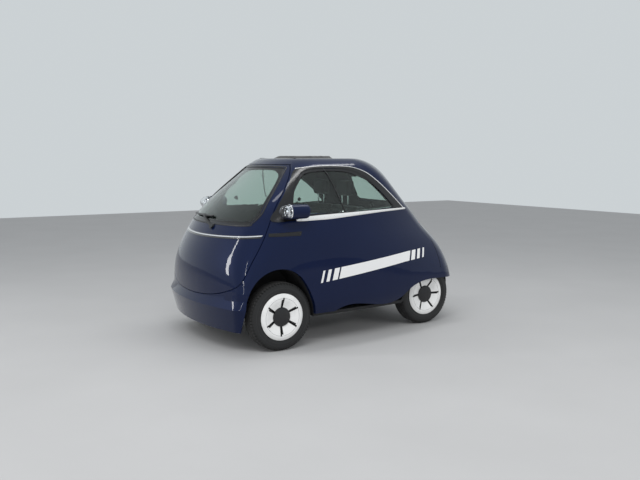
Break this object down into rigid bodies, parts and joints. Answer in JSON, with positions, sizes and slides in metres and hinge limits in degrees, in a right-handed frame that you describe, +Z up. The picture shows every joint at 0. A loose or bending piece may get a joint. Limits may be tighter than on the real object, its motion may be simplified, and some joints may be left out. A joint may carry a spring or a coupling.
{
  "type": "microcar",
  "caption": "Bubble-shaped two-seat electric microcar whose whole front opens as one door, with a rear hatch, steered front wheels and a narrow rear track.",
  "frame": {"origin": "on the floor below the middle of the car's length and width", "axes": "+Z up, the nose points to -Y, the car's left side is +X"},
  "size_m": [1.596, 2.5231, 1.501],
  "materials": {
    "paint": "gloss",
    "roof_fabric": "matt",
    "glass": "gloss",
    "underbody": "matt",
    "interior": "matt",
    "seat_cover": "matt",
    "dark_metal": "satin",
    "motor_case": "satin",
    "lamp_glass": "gloss",
    "mirror": "gloss",
    "light_bar": "gloss",
    "black_trim": "satin",
    "tail_light": "gloss",
    "tyre": "matt",
    "rim": "satin",
    "cover_white": "gloss"
  },
  "bodies": {
    "body": {"floor_pan": "underbody", "side_panel_left": "paint", "side_panel_right": "paint", "roof_panel": "paint", "soft_top": "roof_fabric", "front_apron": "paint", "rear_apron": "paint", "side_glass_left": "glass", "side_glass_right": "glass", "front_wheelhouses": "underbody", "rear_wheelhouses": "underbody", "bench_base": "interior", "battery_block": "interior", "seat_cushion": "seat_cover", "seat_back": "seat_cover", "headrests": "seat_cover", "steering_column": "dark_metal", "steering_wheel": "interior", "pedals": "dark_metal", "motor_block": "motor_case", "parcel_shelf": "interior", "front_subframe": "dark_metal", "rear_axle": "dark_metal", "lamp_pod_left": "paint", "lamp_pod_right": "paint", "headlamp_lenses": "lamp_glass", "mirror_glasses": "mirror"},
    "front_door": {"door_panel": "paint", "windscreen": "glass", "front_light_bar": "light_bar", "wiper": "black_trim", "door_bar": "dark_metal"},
    "hatch": {"hatch_panel": "paint", "rear_glass": "glass", "rear_light_bar": "tail_light"},
    "knuckle_left": {"knuckle_left": "dark_metal"},
    "knuckle_right": {"knuckle_right": "dark_metal"},
    "wheel_front_left": {"tyre_front_left": "tyre", "rim_front_left": "rim", "wheel_cover_front_left": "cover_white"},
    "wheel_front_right": {"tyre_front_right": "tyre", "rim_front_right": "rim", "wheel_cover_front_right": "cover_white"},
    "wheel_rear_left": {"tyre_rear_left": "tyre", "rim_rear_left": "rim", "wheel_cover_rear_left": "cover_white"},
    "wheel_rear_right": {"tyre_rear_right": "tyre", "rim_rear_right": "rim", "wheel_cover_rear_right": "cover_white"}
  },
  "joints": [
    {"name": "front_door_hinge", "type": "hinge", "parent": "body", "child": "front_door", "pos_m": [0.648, -1.1, 0.53], "axis": [0, 0, 1], "range_deg": [0, 75]},
    {"name": "hatch_hinge", "type": "hinge", "parent": "body", "child": "hatch", "pos_m": [0, 0.404, 1.437], "axis": [1, 0, 0], "range_deg": [0, 75]},
    {"name": "steer_left", "type": "hinge", "parent": "body", "child": "knuckle_left", "pos_m": [0.598, -0.78, 0.2665], "axis": [0, 0, 1], "range_deg": [-30, 30]},
    {"name": "steer_right", "type": "hinge", "parent": "body", "child": "knuckle_right", "pos_m": [-0.598, -0.78, 0.2665], "axis": [0, 0, 1], "range_deg": [-30, 30]},
    {"name": "wheel_front_left_spin", "type": "hinge", "parent": "knuckle_left", "child": "wheel_front_left", "pos_m": [0.628, -0.78, 0.2665], "axis": [1, 0, 0], "continuous": true},
    {"name": "wheel_front_right_spin", "type": "hinge", "parent": "knuckle_right", "child": "wheel_front_right", "pos_m": [-0.628, -0.78, 0.2665], "axis": [1, 0, 0], "continuous": true},
    {"name": "wheel_rear_left_spin", "type": "hinge", "parent": "body", "child": "wheel_rear_left", "pos_m": [0.452, 0.786, 0.2665], "axis": [1, 0, 0], "continuous": true},
    {"name": "wheel_rear_right_spin", "type": "hinge", "parent": "body", "child": "wheel_rear_right", "pos_m": [-0.452, 0.786, 0.2665], "axis": [1, 0, 0], "continuous": true}
  ],
  "couplings": [
    {"joint": "steer_right", "follows": "steer_left", "ratio": 1}
  ]
}
